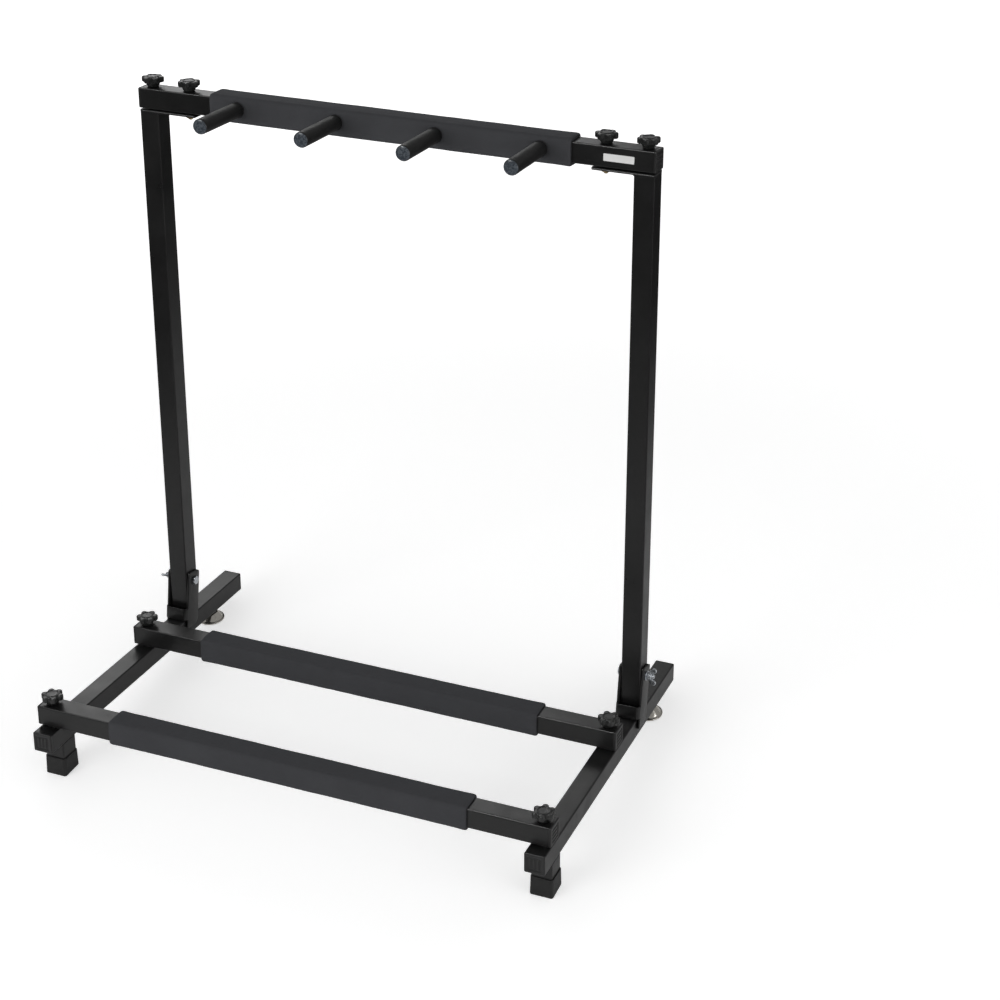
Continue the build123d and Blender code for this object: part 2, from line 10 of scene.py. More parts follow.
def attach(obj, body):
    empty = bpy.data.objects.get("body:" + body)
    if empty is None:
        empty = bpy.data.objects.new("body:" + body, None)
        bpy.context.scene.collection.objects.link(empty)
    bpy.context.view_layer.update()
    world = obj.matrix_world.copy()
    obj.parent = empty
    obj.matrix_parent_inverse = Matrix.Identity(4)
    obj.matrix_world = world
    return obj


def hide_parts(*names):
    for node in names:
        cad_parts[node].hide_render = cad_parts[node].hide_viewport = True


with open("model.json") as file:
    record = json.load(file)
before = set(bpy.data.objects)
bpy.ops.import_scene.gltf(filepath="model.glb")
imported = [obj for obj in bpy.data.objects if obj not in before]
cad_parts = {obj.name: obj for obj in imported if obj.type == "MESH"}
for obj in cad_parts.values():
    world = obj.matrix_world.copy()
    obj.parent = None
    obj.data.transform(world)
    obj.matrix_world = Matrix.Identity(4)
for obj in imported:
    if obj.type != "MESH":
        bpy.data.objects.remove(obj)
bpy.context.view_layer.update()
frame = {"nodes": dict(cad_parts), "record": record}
nodes = frame["nodes"]

# ------------------------------------------------------------------ layout
# The members are laid out square to the legs; legs fall 4.4 deg to the rear.
SLOPE = math.radians(4.4)
ORIGIN_Y, FLOOR_LIFT = 221.60, 2.63
MM = 0.001


def P(x, y, z):
    """A point in the legs' frame (mm) as a point in the row frame (m)."""
    c, s = math.cos(SLOPE), math.sin(SLOPE)
    return Vector((x * MM, (y * c + z * s - ORIGIN_Y) * MM, (-y * s + z * c + FLOOR_LIFT) * MM))


X_AX = Vector((1, 0, 0))
Y_AX = Vector((0, math.cos(SLOPE), -math.sin(SLOPE)))   # along the legs, to the rear
Z_AX = Vector((0, math.sin(SLOPE), math.cos(SLOPE)))    # square to the legs

LEG_TOP, TUBE, NUT = 67.8, 25.0, 2.9
BAR_Z = LEG_TOP + NUT + TUBE / 2
BAR_TOP = LEG_TOP + NUT + TUBE
TOP_BAR_TOP = 785.6
TOP_Z = TOP_BAR_TOP - TUBE / 2
PIVOT_Y, PIVOT_Z = 316.0, LEG_TOP + 50.8
LEG_X = 316.8
PEG_X = (-193.3, -63.5, 63.5, 193.3)
PEG_Z = TOP_Z + 1.1
FOAM, TOP_FOAM = 3.2, 4.2
SLEEVE_HALF = 230.2
PEG_LEN, PEG_R = 82.5, 9.4

# --------------------------------------------------------------- node tools


class Mat:
    """Small helper that strings shader nodes together."""

    def __init__(self, name):
        self.m = bpy.data.materials.new(name)
        self.m.use_nodes = True
        self.t = self.m.node_tree
        self.t.nodes.clear()
        self.out = self.t.nodes.new("ShaderNodeOutputMaterial")
        self.bsdf = self.t.nodes.new("ShaderNodeBsdfPrincipled")
        self.t.links.new(self.bsdf.outputs[0], self.out.inputs[0])
        tc = self.t.nodes.new("ShaderNodeTexCoord")
        self.co = tc.outputs["Object"]

    def link(self, a, b):
        self.t.links.new(a, b)

    def n(self, kind, **kw):
        node = self.t.nodes.new(kind)
        for k, v in kw.items():
            setattr(node, k, v)
        return node

    def mapping(self, scale, src=None, rot=(0, 0, 0)):
        mp = self.n("ShaderNodeMapping")
        mp.inputs["Scale"].default_value = scale if hasattr(scale, "__len__") else (scale,) * 3
        mp.inputs["Rotation"].default_value = rot
        self.link(src or self.co, mp.inputs[0])
        return mp.outputs[0]

    def noise(self, scale, detail=4.0, rough=0.5, src=None, dist=0.0, out="Fac"):
        nd = self.n("ShaderNodeTexNoise")
        nd.inputs["Scale"].default_value = scale
        nd.inputs["Detail"].default_value = detail
        nd.inputs["Roughness"].default_value = rough
        nd.inputs["Distortion"].default_value = dist
        self.link(src or self.co, nd.inputs["Vector"])
        return nd.outputs[out]

    def voronoi(self, scale, src=None, feature="F1", out="Distance", rnd=1.0):
        nd = self.n("ShaderNodeTexVoronoi", feature=feature)
        nd.inputs["Scale"].default_value = scale
        nd.inputs["Randomness"].default_value = rnd
        self.link(src or self.co, nd.inputs["Vector"])
        return nd.outputs[out]

    def ramp(self, src, stops, interp="LINEAR"):
        nd = self.n("ShaderNodeValToRGB")
        nd.color_ramp.interpolation = interp
        e = nd.color_ramp.elements
        while len(e) < len(stops):
            e.new(0.5)
        for el, (pos, val) in zip(e, stops):
            el.position = pos
            el.color = (*val, 1.0) if hasattr(val, "__len__") else (val, val, val, 1.0)
        self.link(src, nd.inputs[0])
        return nd.outputs[0]

    def maprange(self, src, a, b, c, d):
        nd = self.n("ShaderNodeMapRange")
        nd.inputs[1].default_value = a
        nd.inputs[2].default_value = b
        nd.inputs[3].default_value = c
        nd.inputs[4].default_value = d
        self.link(src, nd.inputs[0])
        return nd.outputs[0]

    def math(self, op, a, b=None, clamp=False):
        nd = self.n("ShaderNodeMath", operation=op, use_clamp=clamp)
        for i, v in enumerate((a, b)):
            if v is None:
                continue
            if isinstance(v, (int, float)):
                nd.inputs[i].default_value = v
            else:
                self.link(v, nd.inputs[i])
        return nd.outputs[0]

    def mix(self, fac, a, b, blend="MIX"):
        nd = self.n("ShaderNodeMix", data_type="RGBA", blend_type=blend)
        for sock, v in ((nd.inputs[0], fac), (nd.inputs[6], a), (nd.inputs[7], b)):
            if isinstance(v, (int, float)):
                sock.default_value = v
            elif hasattr(v, "__len__"):
                sock.default_value = (*v, 1.0)[:4]
            else:
                self.link(v, sock)
        return nd.outputs[2]

    def bump(self, height, strength, distance, normal=None):
        nd = self.n("ShaderNodeBump")
        nd.inputs["Strength"].default_value = strength
        nd.inputs["Distance"].default_value = distance
        self.link(height, nd.inputs["Height"])
        if normal is not None:
            self.link(normal, nd.inputs["Normal"])
        return nd.outputs[0]

    def bevel(self, radius, samples=6):
        nd = self.n("ShaderNodeBevel", samples=samples)
        nd.inputs[0].default_value = radius
        return nd.outputs[0]

    def edge(self, radius, samples=6):
        """1 on convex edges, 0 on flats."""
        bev = self.n("ShaderNodeBevel", samples=samples)
        bev.inputs[0].default_value = radius
        geo = self.n("ShaderNodeNewGeometry")
        dot = self.n("ShaderNodeVectorMath", operation="DOT_PRODUCT")
        self.link(bev.outputs[0], dot.inputs[0])
        self.link(geo.outputs["Normal"], dot.inputs[1])
        return self.maprange(dot.outputs["Value"], 0.995, 0.9, 0.0, 1.0)

    def set(self, **kw):
        names = {"color": "Base Color", "rough": "Roughness", "metal": "Metallic", "normal": "Normal",
                 "spec": "Specular IOR Level", "coat": "Coat Weight", "coat_rough": "Coat Roughness",
                 "coat_normal": "Coat Normal", "sheen": "Sheen Weight", "sheen_rough": "Sheen Roughness",
                 "sheen_tint": "Sheen Tint", "ior": "IOR"}
        for k, v in kw.items():
            s = self.bsdf.inputs[names[k]]
            if isinstance(v, (int, float)):
                s.default_value = v
            elif hasattr(v, "__len__"):
                s.default_value = (*v, 1.0)[:4] if s.type == "RGBA" else v
            else:
                self.link(v, s)
        return self.m


# ---------------------------------------------------------------- materials


def powder_coat(name="black_powder_coat"):
    m = Mat(name)
    peel = m.noise(950, 3, 0.55)                       # fine orange peel, about 1 mm
    broad = m.noise(34, 3, 0.5)
    fine = m.noise(2600, 2, 0.5)
    h = m.math("ADD", m.math("MULTIPLY", peel, 0.65), m.math("MULTIPLY", fine, 0.35))
    nrm = m.bump(h, 0.14, 0.00024, m.bevel(0.0005))
    dust = m.ramp(m.noise(7, 6, 0.62), [(0.42, 0.0), (0.75, 1.0)])
    scuff_src = m.mapping((60, 60, 60))
    scuff = m.ramp(m.noise(1.0, 8, 0.75, src=scuff_src, dist=1.6), [(0.60, 0.0), (0.68, 1.0)])
    speck = m.ramp(m.voronoi(420), [(0.0, 1.0), (0.06, 0.0)])
    col = m.mix(m.math("MULTIPLY", dust, 0.55), (0.0050, 0.0050, 0.0051), (0.0105, 0.0104, 0.0102))
    col = m.mix(m.math("MULTIPLY", m.edge(0.0008), 0.25), col, (0.026, 0.026, 0.0265))
    col = m.mix(m.math("MULTIPLY", speck, 0.25), col, (0.06, 0.06, 0.058))
    rough = m.maprange(broad, 0.3, 0.7, 0.27, 0.36)
    rough = m.math("ADD", rough, m.math("MULTIPLY", scuff, 0.07))
    rough = m.math("ADD", rough, m.math("MULTIPLY", dust, 0.06))
    return m.set(color=col, rough=rough, normal=nrm, spec=0.5, ior=1.5)


def weld_coat():
    m = Mat("weld_coat")
    ripple = m.n("ShaderNodeTexWave", wave_type="BANDS", bands_direction="DIAGONAL", wave_profile="SIN")
    ripple.inputs["Scale"].default_value = 210
    ripple.inputs["Distortion"].default_value = 1.6
    ripple.inputs["Detail"].default_value = 2
    m.link(m.co, ripple.inputs["Vector"])
    h = m.math("ADD", m.math("MULTIPLY", ripple.outputs["Fac"], 0.9), m.math("MULTIPLY", m.noise(1500, 4, 0.6), 0.35))
    nrm = m.bump(h, 0.8, 0.0005)
    col = m.mix(m.noise(300, 3), (0.006, 0.006, 0.006), (0.014, 0.014, 0.014))
    return m.set(color=col, rough=m.maprange(m.noise(500, 3), 0.3, 0.7, 0.28, 0.42), normal=nrm)


def plug_plastic():
    m = Mat("plug_plastic")
    grain = m.noise(2400, 3, 0.6)
    swirl = m.noise(60, 4, 0.55, dist=0.8)
    nrm = m.bump(grain, 0.25, 0.00016, m.bevel(0.0004))
    col = m.mix(swirl, (0.009, 0.009, 0.009), (0.016, 0.016, 0.0162))
    col = m.mix(m.math("MULTIPLY", m.edge(0.0007), 0.4), col, (0.05, 0.05, 0.05))
    return m.set(color=col, rough=m.maprange(swirl, 0.3, 0.7, 0.36, 0.5), normal=nrm, spec=0.45)


def knob_plastic():
    m = Mat("knob_plastic")
    grain = m.noise(1800, 3, 0.6)
    low = m.noise(140, 3, 0.5)
    h = m.math("ADD", m.math("MULTIPLY", grain, 0.5), m.math("MULTIPLY", low, 0.8))
    nrm = m.bump(h, 0.22, 0.00025, m.bevel(0.0005))
    rub = m.ramp(m.noise(220, 5, 0.6), [(0.45, 0.0), (0.72, 1.0)])
    col = m.mix(rub, (0.0100, 0.0104, 0.0102), (0.020, 0.0206, 0.0203))
    col = m.mix(m.math("MULTIPLY", m.edge(0.0008), 0.45), col, (0.05, 0.05, 0.051))
    return m.set(color=col, rough=m.maprange(low, 0.3, 0.7, 0.26, 0.38), normal=nrm, spec=0.5)


def cap_rubber():
    m = Mat("foot_rubber")
    grain = m.noise(1700, 4, 0.65)
    nrm = m.bump(grain, 0.35, 0.0003, m.bevel(0.0005))
    dust = m.ramp(m.noise(90, 6, 0.65), [(0.4, 0.0), (0.8, 1.0)])
    col = m.mix(m.math("MULTIPLY", dust, 0.6), (0.008, 0.008, 0.008), (0.020, 0.0197, 0.0193))
    col = m.mix(m.math("MULTIPLY", m.edge(0.0008), 0.4), col, (0.05, 0.05, 0.05))
    return m.set(color=col, rough=m.maprange(grain, 0.3, 0.7, 0.42, 0.56), normal=nrm, spec=0.4)


def foam():
    m = Mat("foam")
    cells = m.voronoi(1050, feature="SMOOTH_F1")       # about 1 mm skin cells
    fine = m.noise(2600, 4, 0.6)
    hand = m.noise(26, 4, 0.55)
    crease = m.noise(150, 4, 0.6, src=m.mapping((0.35, 1, 1)))
    h = m.math("ADD", m.math("MULTIPLY", cells, 0.55), m.math("MULTIPLY", fine, 0.5))
    h = m.math("ADD", h, m.math("MULTIPLY", crease, 1.1))
    nrm = m.bump(h, 0.5, 0.0004)
    col = m.mix(hand, (0.036, 0.0366, 0.0396), (0.054, 0.0552, 0.0596))
    col = m.mix(m.math("MULTIPLY", m.maprange(fine, 0.35, 0.7, 0.0, 1.0), 0.35), col, (0.053, 0.0545, 0.0585))
    return m.set(color=col, rough=m.maprange(hand, 0.3, 0.7, 0.76, 0.88), normal=nrm, spec=0.1,
                 sheen=0.03, sheen_rough=0.5, sheen_tint=(0.8, 0.85, 1.0))


def peg_rubber():
    m = Mat("peg_rubber")
    fine = m.noise(2100, 4, 0.6)
    hand = m.noise(45, 4, 0.55)
    drag = m.noise(1.0, 5, 0.65, src=m.mapping((420, 40, 420)))
    h = m.math("ADD", m.math("MULTIPLY", fine, 0.5), m.math("MULTIPLY", drag, 0.7))
    col = m.mix(hand, (0.0068, 0.0068, 0.0066), (0.0135, 0.0135, 0.0132))
    col = m.mix(m.math("MULTIPLY", m.maprange(drag, 0.45, 0.75, 0.0, 1.0), 0.4), col, (0.024, 0.0245, 0.0255))
    return m.set(color=col, rough=m.maprange(hand, 0.3, 0.7, 0.46, 0.58), normal=m.bump(h, 0.35, 0.0003),
                 spec=0.25)


def peg_tip():
    m = Mat("peg_tip")
    grain = m.noise(1500, 4, 0.6)
    rub = m.ramp(m.noise(260, 5, 0.65, dist=0.5), [(0.40, 0.0), (0.66, 1.0)])
    # the tip is a glossier end of the same black rubber; its lighter bluish colour is painted reflection, varied in
    # blotches by rub
    col = m.mix(rub, (0.030, 0.037, 0.046), (0.066, 0.078, 0.092))
    return m.set(color=col, rough=m.maprange(rub, 0.0, 1.0, 0.22, 0.36), normal=m.bump(grain, 0.25, 0.0002), spec=0.5)


def foam_cut():
    m = Mat("foam_cut")
    cells = m.voronoi(900, out="Distance")
    nrm = m.bump(cells, 0.9, 0.0006)
    col = m.mix(cells, (0.014, 0.0145, 0.016), (0.05, 0.051, 0.055))
    return m.set(color=col, rough=0.9, normal=nrm, spec=0.2)


def zinc(name="zinc_plate", tint=(0.70, 0.73, 0.76), dark=(0.46, 0.49, 0.53), rough=(0.2, 0.36), thread=None):
    m = Mat(name)
    blot = m.noise(260, 5, 0.6, dist=0.6)
    fine = m.noise(2200, 3, 0.6)
    nrm = m.bump(m.math("ADD", fine, m.math("MULTIPLY", blot, 0.6)), 0.22, 0.00018, m.bevel(0.0003))
    if thread:                                          # (axis, pitch in metres, where it starts along X)
        axis, pitch, start = thread
        wave = m.n("ShaderNodeTexWave", wave_type="BANDS", bands_direction=axis, wave_profile="TRI")
        wave.inputs["Scale"].default_value = 2 * math.pi / (20 * pitch)
        wave.inputs["Distortion"].default_value = 0
        m.link(m.co, wave.inputs["Vector"])
        part = m.n("ShaderNodeSeparateXYZ")
        m.link(m.co, part.inputs[0])
        on = m.maprange(m.math("ABSOLUTE", part.outputs[0]), start, start + 0.0004, 0.0, 1.0)
        nrm = m.bump(m.math("MULTIPLY", wave.outputs["Fac"], on), 1.0, 0.0005, nrm)
    col = m.mix(m.maprange(blot, 0.3, 0.72, 0.0, 1.0), tint, dark)
    return m.set(color=col, metal=1.0, rough=m.maprange(blot, 0.3, 0.7, rough[0], rough[1]), normal=nrm)


def nickel():
    m = Mat("nickel_plate")
    blot = m.noise(90, 4, 0.55)
    ring = m.noise(2500, 2, 0.5)
    nrm = m.bump(m.math("ADD", ring, blot), 0.06, 0.00015, m.bevel(0.0004))
    col = m.mix(blot, (0.74, 0.71, 0.65), (0.62, 0.595, 0.54))
    return m.set(color=col, metal=1.0, rough=m.maprange(blot, 0.3, 0.7, 0.09, 0.2), normal=nrm)


def label_film():
    m = Mat("label_film")
    fibre = m.noise(1500, 4, 0.6)
    stain = m.noise(60, 4, 0.6)
    col = m.mix(stain, (0.74, 0.74, 0.73), (0.62, 0.62, 0.615))
    return m.set(color=col, rough=m.maprange(fibre, 0.3, 0.7, 0.42, 0.55), normal=m.bump(fibre, 0.1, 0.0001))


MATS = {
    "black_powder_coat": powder_coat(), "plug_plastic": plug_plastic(), "knob_plastic": knob_plastic(),
    "foot_rubber": cap_rubber(), "foam": foam(), "zinc_plate": zinc(),
    "yellow_zinc": zinc("yellow_zinc", (0.60, 0.46, 0.24), (0.36, 0.25, 0.12), (0.26, 0.42)),
    "nickel_plate": nickel(), "label": label_film(),
}
PEG = peg_rubber()
TIP = peg_tip()
WELD = weld_coat()
CUT = foam_cut()
SLOT_OF = {s["node"]: s["material_slot"] for s in frame["record"]["subparts"]}
BODY_OF = {n: b for b, ns in frame["record"]["behaviour"]["bodies"].items() for n in ns}


def dress(obj, mat):
    obj.data.materials.clear()
    obj.data.materials.append(mat)


for name, o in nodes.items():
    dress(o, WELD if name in ("hinge_welds", "plate_welds") else MATS[SLOT_OF[name]])
BOLT = zinc("threaded_bolt", thread=("X", 0.001, 0.333))
STUD = zinc("threaded_stud", thread=("Z", 0.00125, 0.0))
for name in ("hinge_bolt_left", "hinge_bolt_right"):
    dress(nodes[name], BOLT)
for name in ("leveller_stud_left", "leveller_stud_right"):
    dress(nodes[name], STUD)
dress(nodes["leg_weld_nuts"], zinc("bright_zinc", (0.95, 0.96, 0.97), (0.85, 0.87, 0.9), (0.12, 0.3)))

# --------------------------------------------------------------- mesh tools


def new_object(name, verts, faces, mat, body, smooth=True, angle=None):
    me = bpy.data.meshes.new(name)
    me.from_pydata([tuple(v) for v in verts], [], faces)
    me.validate()
    me.materials.append(mat)
    ob = bpy.data.objects.new(name, me)
    bpy.context.scene.collection.objects.link(ob)
    if smooth:
        me.polygons.foreach_set("use_smooth", [True] * len(me.polygons))
    if angle is not None:
        me.set_sharp_from_angle(angle=math.radians(angle))
    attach(ob, body)
    return ob


def rounded_square(side, r, n_side, n_corner):
    """Points and outward normals of a rounded square, anticlockwise, starting on the right face."""
    h = side / 2
    pts = []
    for q in range(4):
        a0 = q * math.pi / 2
        c, s = math.cos(a0), math.sin(a0)
        for i in range(n_side):                         # flat of this face
            t = -(h - r) + 2 * (h - r) * (i + 0.5) / n_side
            x, y = h, t
            pts.append(((x * c - y * s), (x * s + y * c), c, s, abs(t) / (h - r)))
        for i in range(n_corner):                       # corner that follows it
            a = a0 + (i + 0.5) / n_corner * math.pi / 2
            cx, cy = (h - r), (h - r)
            x0, y0 = cx * c - cy * s, cx * s + cy * c
            pts.append((x0 + r * math.cos(a), y0 + r * math.sin(a), math.cos(a), math.sin(a), 1.0))
    return pts


def sleeve(name, y, z, wall, node, body, seed, pegs=()):
    """Foam sleeve: a soft, slightly crowned square tube with rolled ends, built around its bar."""
    side = TUBE + 2 * wall
    ring = rounded_square(side - 0.3, 1.5 + wall, 14, 9)
    inner = rounded_square(TUBE + 0.1, 1.8, 14, 9)
    n = len(ring)
    half = SLEEVE_HALF
    step = 1.6
    xs = [-half, -half + 0.15, -half + 0.45, -half + 0.9]
    xs += list(np.linspace(-half + 1.6, half - 1.6, int(2 * half / step) - 1))
    xs += [half - 0.9, half - 0.45, half - 0.15, half]
    verts, faces, mats = [], [], []
    off = Vector((seed * 13.7, seed * 5.1, seed * 2.3))

    def pt(x, u, v):
        # u is towards the rear, v is up
        return P(x, y + u, z + v)

    rows = []
    for x in xs:
        d_end = min(half - x, x + half)
        roll = 0.0
        if d_end < 3.0:                                 # ends roll in
            t = 1 - d_end / 3.0
            roll = 1.6 * (1 - math.sqrt(max(0.0, 1 - t * t)))
        flare = 0.28 * math.exp(-((d_end - 4.0) / 7.0) ** 2)
        row = []
        for (u, v, nu, nv, edge) in ring:
            crown = 0.34 * (1 - edge * edge)
            q = Vector((x * 0.016, u * 0.05, v * 0.05)) + off
            q2 = Vector((x * 0.07, u * 0.11, v * 0.11)) + off * 2
            q3 = Vector((x * 0.33, u * 0.33, v * 0.33)) + off * 3
            d = crown + flare - roll + 0.30 * noise.noise(q) + 0.15 * noise.noise(q2) + 0.05 * noise.noise(q3)
            for px in pegs:                             # the pegs press the foam in a little
                if u < 0 and abs(x - px) < 22:
                    rr = math.hypot(x - px, v - 1.1)
                    if nu < -0.5:
                        d -= 0.75 * math.exp(-((max(0.0, rr - 8.9)) / 2.6) ** 2) if rr < 20 else 0.0
                    if v > 6:                           # and draw its top front edge down
                        d -= 0.85 * math.exp(-((x - px) / 11.0) ** 2) * min(1.0, (v - 6) / 6) * max(0.0, -u / (side / 2)) ** 2
            row.append(len(verts))
            verts.append(pt(x, u + nu * d, v + nv * d))
        rows.append(row)
    for a, b in zip(rows[:-1], rows[1:]):
        for i in range(n):
            j = (i + 1) % n
            faces.append((a[i], b[i], b[j], a[j]))
            mats.append(0)
    # cut ends: three rings from the outer edge in to the bar
    for x, row, flip in ((-half, rows[0], True), (half, rows[-1], False)):
        prev = row
        for k, f in enumerate((0.25, 0.55, 0.85, 1.0)):
            cur = []
            for i, (u, v, nu, nv, _) in enumerate(inner):
                o = verts[prev[i]] if k == 0 else None
                a = Vector((ring[i][0] - ring[i][2] * 1.6, ring[i][1] - ring[i][3] * 1.6, 0))
                b = Vector((u, v, 0))
                p = a.lerp(b, f)
                wob = 0.10 * noise.noise(Vector((p.x * 0.8, p.y * 0.8, seed * 3.0 + k)))
                sign = -1 if flip else 1
                cur.append(len(verts))
                verts.append(pt(x + sign * (wob - 0.12 * (f < 1)), p.x, p.y))
            for i in range(n):
                j = (i + 1) % n
                quad = (prev[i], prev[j], cur[j], cur[i])
                faces.append(quad if not flip else quad[::-1])
                mats.append(1)
            prev = cur
        if flip:
            first_in = prev
        else:
            last_in = prev
    for i in range(n):                                  # bore along the bar
        j = (i + 1) % n
        faces.append((first_in[i], first_in[j], last_in[j], last_in[i]))
        mats.append(0)
    ob = new_object(name, verts, faces, MATS["foam"], body)
    ob.data.materials.append(CUT)
    ob.data.polygons.foreach_set("material_index", mats[: len(ob.data.polygons)])
    bm = bmesh.new()
    bm.from_mesh(ob.data)
    bmesh.ops.recalc_face_normals(bm, faces=bm.faces)
    bm.to_mesh(ob.data)
    bm.free()
    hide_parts(node)
    return ob


sleeve("front_foam", 26.4, BAR_Z, FOAM, "front_sleeve", "base", 1)
sleeve("rear_foam", 228.6, BAR_Z, FOAM, "rear_sleeve", "base", 2)
sleeve("top_foam", PIVOT_Y, TOP_Z, TOP_FOAM, "top_sleeve", "upper_frame", 3, pegs=PEG_X)


def peg_cover(i, px):
    """Foam peg cover: soft tube with a rounded tip, seated in the sleeve."""
    y0 = PIVOT_Y - TUBE / 2 - TOP_FOAM + 0.45
    y1 = PIVOT_Y - TUBE / 2 - TOP_FOAM - PEG_LEN
    length = y0 - y1
    er = 3.1
    prof = []                                           # (distance from base, radius)
    m = 56
    for k in range(m + 1):
        prof.append((length * 0.0 + (length - er) * k / m, PEG_R))
    for k in range(1, 9):
        a = k / 8 * math.pi / 2
        prof.append((length - er + er * math.sin(a), PEG_R - er + er * math.cos(a)))
    for f in (0.85, 0.65, 0.45, 0.25, 0.1):
        prof.append((length - 0.25 * (1 - f) * 0.0, (PEG_R - er) * f))
    n = 56
    verts, faces = [], []
    off = Vector((i * 7.3 + 40, i * 3.1, 9.2))
    for k, (d, r) in enumerate(prof):
        for s in range(n):
            a = 2 * math.pi * s / n
            w = 0.16 * noise.noise(Vector((d * 0.035, math.cos(a) * 0.9, math.sin(a) * 0.9)) + off)
            w += 0.05 * noise.noise(Vector((d * 0.2, math.cos(a) * 2.5, math.sin(a) * 2.5)) + off * 2)
            base = 0.35 * math.exp(-(d / 2.0) ** 2)      # slight bulge where it meets the sleeve
            rr = max(0.2, r + (w - 0.08 + base * 0.4) * min(1.0, r / 6))
            dd = d + (0.18 * noise.noise(Vector((math.cos(a) * r * 0.2, math.sin(a) * r * 0.2, i * 3.3))) if k > m + 8 else 0)
            verts.append(P(px + rr * math.cos(a), y0 - dd, PEG_Z + rr * math.sin(a)))
    rows = len(prof)
    tip = []
    for k in range(rows - 1):
        for s in range(n):
            t = (s + 1) % n
            faces.append((k * n + s, k * n + t, (k + 1) * n + t, (k + 1) * n + s))
            tip.append(1 if k >= m + 3 else 0)
    faces.append(tuple((rows - 1) * n + s for s in range(n)))
    tip.append(1)
    # open base: turn in to the rod and run back up the bore
    br = 4.55
    inner0 = len(verts)
    for d in (0.0, length - 5.0):
        for s in range(n):
            a = 2 * math.pi * s / n
            verts.append(P(px + br * math.cos(a), y0 - d, PEG_Z + br * math.sin(a)))
    for s in range(n):
        t = (s + 1) % n
        faces.append((s, inner0 + s, inner0 + t, t))
        faces.append((inner0 + s, inner0 + n + s, inner0 + n + t, inner0 + t))
    faces.append(tuple(inner0 + n + s for s in range(n))[::-1])
    ob = new_object("peg_foam_%d" % (i + 1), verts, faces, PEG, "upper_frame")
    bm = bmesh.new()
    bm.from_mesh(ob.data)
    bmesh.ops.recalc_face_normals(bm, faces=bm.faces)
    bm.to_mesh(ob.data)
    bm.free()
    ob.data.materials.append(TIP)
    ob.data.polygons.foreach_set("material_index", (tip + [0] * len(ob.data.polygons))[:len(ob.data.polygons)])
    ob.data.polygons.foreach_set("use_smooth", [True] * len(ob.data.polygons))
    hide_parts("peg_cover_%d" % (i + 1))
    return ob


for i, px in enumerate(PEG_X):
    peg_cover(i, px)


def label_sheet():
    """Blank film label with rounded corners, one corner of it starting to lift."""
    x0, x1, h, r = 268.2, 304.8, 8.6, 0.7
    zc = TOP_Z - 0.4
    face = PIVOT_Y - TUBE / 2
    nx, nz = 56, 16
    verts, faces = [], []
    for side in (0, 1):
        for a in range(nx + 1):
            for b in range(nz + 1):
                u, v = a / nx, b / nz
                x, z = x0 + (x1 - x0) * u, zc - h / 2 + h * v
                cx, cz = min(max(x, x0 + r), x1 - r), min(max(z, zc - h / 2 + r), zc + h / 2 - r)
                d = math.hypot(x - cx, z - cz)
                if d > r:                                # draw the corners in to a radius
                    x, z = cx + (x - cx) * r / d, cz + (z - cz) * r / d
                lift = 0.55 * max(0.0, 1 - math.hypot(x1 - x, z - (zc - h / 2)) / 3.6) ** 2
                lift += 0.02 * (1 + noise.noise(Vector((x * 0.35, z * 0.5, 4.0))))
                verts.append(P(x, face - 0.03 - lift - (0.16 if side else 0.0), z))
    m = (nx + 1) * (nz + 1)

    def at(side, a, b):
        return side * m + a * (nz + 1) + b

    for a in range(nx):
        for b in range(nz):
            faces.append((at(0, a, b), at(0, a + 1, b), at(0, a + 1, b + 1), at(0, a, b + 1)))
            faces.append((at(1, a, b + 1), at(1, a + 1, b + 1), at(1, a + 1, b), at(1, a, b)))
    rim = [(a, 0) for a in range(nx)] + [(nx, b) for b in range(nz)]
    rim += [(a, nz) for a in range(nx, 0, -1)] + [(0, b) for b in range(nz, 0, -1)]
    for k, (a, b) in enumerate(rim):
        c, d = rim[(k + 1) % len(rim)]
        faces.append((at(0, a, b), at(1, a, b), at(1, c, d), at(0, c, d)))
    ob = new_object("label_film_sheet", verts, faces, MATS["label"], BODY_OF["blank_label"], angle=40)
    bm = bmesh.new()
    bm.from_mesh(ob.data)
    bmesh.ops.recalc_face_normals(bm, faces=bm.faces)
    bm.to_mesh(ob.data)
    bm.free()
    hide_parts("blank_label")


label_sheet()

# -------------------------------------------------------- CAD node finishing
for name, o in nodes.items():
    if o.hide_render:
        continue
    me = o.data
    me.polygons.foreach_set("use_smooth", [True] * len(me.polygons))
    w = o.modifiers.new("weld", "WELD")
    w.merge_threshold = 1e-6
    me.set_sharp_from_angle(angle=math.radians(28))
    even = o.modifiers.new("even_shading", "WEIGHTED_NORMAL")    # flats stay flat beside their rounded corners
    even.mode = "FACE_AREA"
    even.weight = 100
    even.keep_sharp = True

# ------------------------------------------------------------ stage and light
sc = bpy.context.scene
sc.view_settings.view_transform = "Standard"
sc.view_settings.look = "None"
sc.view_settings.exposure = 0.0
sc.view_settings.gamma = 1.0

world = bpy.data.worlds.new("studio")
sc.world = world
world.use_nodes = True
wt = world.node_tree
wt.nodes.clear()
wo = wt.nodes.new("ShaderNodeOutputWorld")
lp = wt.nodes.new("ShaderNodeLightPath")


def backdrop(strength):
    b = wt.nodes.new("ShaderNodeBackground")
    b.inputs[0].default_value = (1.0, 1.0, 1.0, 1)
    b.inputs[1].default_value = strength
    return b.outputs[0]


def world_mix(fac, a, b):
    mx = wt.nodes.new("ShaderNodeMixShader")
    wt.links.new(fac, mx.inputs[0])
    wt.links.new(a, mx.inputs[1])
    wt.links.new(b, mx.inputs[2])
    return mx.outputs[0]


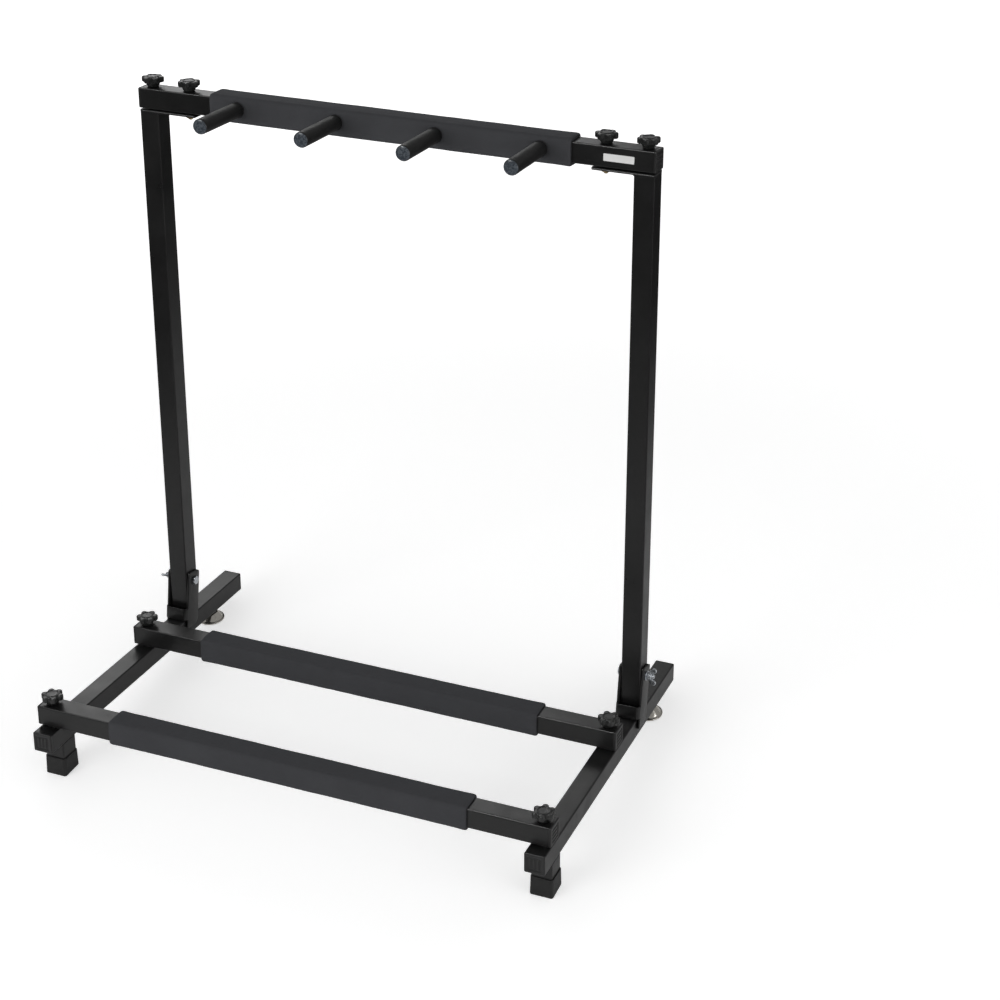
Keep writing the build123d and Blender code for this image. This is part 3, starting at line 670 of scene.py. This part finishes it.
# soft light that comes in low, a greyer room in the reflections, white for the camera
around = backdrop(1.0)
tcw = wt.nodes.new("ShaderNodeTexCoord")
sepw = wt.nodes.new("ShaderNodeSeparateXYZ")
wt.links.new(tcw.outputs["Generated"], sepw.inputs[0])
mrw = wt.nodes.new("ShaderNodeMapRange")
for k, v in ((1, 0.05), (2, 0.9), (3, 1.16), (4, 0.24)):
    mrw.inputs[k].default_value = v
wt.links.new(sepw.outputs[2], mrw.inputs[0])
wt.links.new(mrw.outputs[0], around.node.inputs[1])
lit = world_mix(lp.outputs["Is Glossy Ray"], around, backdrop(0.27))
wt.links.new(world_mix(lp.outputs["Is Camera Ray"], lit, backdrop(1.0)), wo.inputs[0])

bm = bmesh.new()
bmesh.ops.create_grid(bm, x_segments=8, y_segments=8, size=6.0)
me = bpy.data.meshes.new("floor")
bm.to_mesh(me)
bm.free()
floor = bpy.data.objects.new("floor", me)
sc.collection.objects.link(floor)
fm = Mat("floor_paper")
# the paper is small: in reflections it falls off into the room away from the rack
sep = fm.n("ShaderNodeSeparateXYZ")
fm.link(fm.co, sep.inputs[0])
far = fm.math("SQRT", fm.math("ADD", fm.math("MULTIPLY", sep.outputs[0], sep.outputs[0]),
                              fm.math("MULTIPLY", sep.outputs[1], sep.outputs[1])))
fall = fm.ramp(fm.math("MULTIPLY", far, 0.4), [(0.16, 0.0), (0.62, 1.0)], "EASE")
flp = fm.n("ShaderNodeLightPath")
fac = fm.math("MULTIPLY", fall, flp.outputs["Is Glossy Ray"])
fm.set(color=fm.mix(fac, (0.90, 0.90, 0.90), (0.015, 0.015, 0.015)), rough=0.6, spec=0.3,
       normal=fm.bump(fm.noise(180, 3), 0.05, 0.0005))
fm.bsdf.inputs["Emission Color"].default_value = (1, 1, 1, 1)
glow = fm.math("ADD", 0.46, fm.math("MULTIPLY", fm.ramp(fm.math("MULTIPLY", far, 0.25), [(0.2, 0.0), (0.8, 1.0)], "EASE"), 0.5))
fm.link(fm.math("MULTIPLY", flp.outputs["Is Camera Ray"], glow), fm.bsdf.inputs["Emission Strength"])
me.materials.append(fm.m)


def area(name, loc, target, size, power, color=(1, 1, 1)):
    li = bpy.data.lights.new(name, "AREA")
    li.shape = "RECTANGLE"
    li.size, li.size_y = size
    li.energy = power
    li.color = color
    ob = bpy.data.objects.new(name, li)
    sc.collection.objects.link(ob)
    ob.location = loc
    ob.rotation_mode = "QUATERNION"
    ob.rotation_quaternion = (Vector(target) - Vector(loc)).to_track_quat("-Z", "Y")
    return ob


key = area("key", (-1.1, -2.3, 1.15), (0, 0, 0.35), (1.6, 1.2), 19)
key.visible_glossy = False
area("side", (2.5, -0.5, 0.75), (0, 0, 0.2), (1.8, 1.0), 12)
back = area("back", (-1.85, 2.5, 1.78), (0, 0, 0.75), (2.3, 0.5), 15)
back.visible_diffuse = False
rim = area("rim", (-0.95, -1.25, 2.7), (0, 0, 0.4), (1.0, 0.6), 48)
rim.visible_diffuse = False

# --------------------------------------------------------------------- camera
RIGHT = Vector((0.9420379, 0.3355052, 0.0008912))
DOWN = Vector((0.1390903, -0.3881201, -0.9110525))
FWD = Vector((-0.3053170, 0.8583700, -0.4122893))
EYE = Vector((1.006590, -1.783425, 1.521367))
F_PX, CX, CY = 1975.284, 649.164, 288.641
cd = bpy.data.cameras.new("camera")
cam = bpy.data.objects.new("camera", cd)
sc.collection.objects.link(cam)
sc.camera = cam
cd.sensor_width = 36.0
cd.sensor_fit = "HORIZONTAL"
cd.lens = F_PX * 36.0 / 1000.0
cd.shift_x = (500 - CX) / 1000.0
cd.shift_y = (CY - 500) / 1000.0
cd.clip_start, cd.clip_end = 0.05, 50
# the lens shift belongs to this one standpoint; from anywhere else the lens looks straight ahead
stand = bpy.data.objects.new("standpoint", None)
sc.collection.objects.link(stand)
stand.location = EYE
for prop, amount in (("shift_x", (500 - CX) / 1000.0), ("shift_y", (CY - 500) / 1000.0)):
    curve = cd.driver_add(prop)
    curve.driver.type = "AVERAGE"
    var = curve.driver.variables.new()
    var.type = "LOC_DIFF"
    for slot, thing in zip(var.targets, (cam, stand)):
        slot.id = thing
        slot.transform_space = "WORLD_SPACE"
    while curve.modifiers:
        curve.modifiers.remove(curve.modifiers[0])
    while curve.keyframe_points:
        curve.keyframe_points.remove(curve.keyframe_points[0])
    for away, value in ((-0.02, amount), (0.02, 0.0), (9.0, 0.0)):
        key = curve.keyframe_points.insert(away, value)
        key.interpolation = "CONSTANT"
    curve.extrapolation = "CONSTANT"
m = Matrix((
    (RIGHT.x, -DOWN.x, -FWD.x, EYE.x),
    (RIGHT.y, -DOWN.y, -FWD.y, EYE.y),
    (RIGHT.z, -DOWN.z, -FWD.z, EYE.z),
    (0, 0, 0, 1)))
cam.matrix_world = m
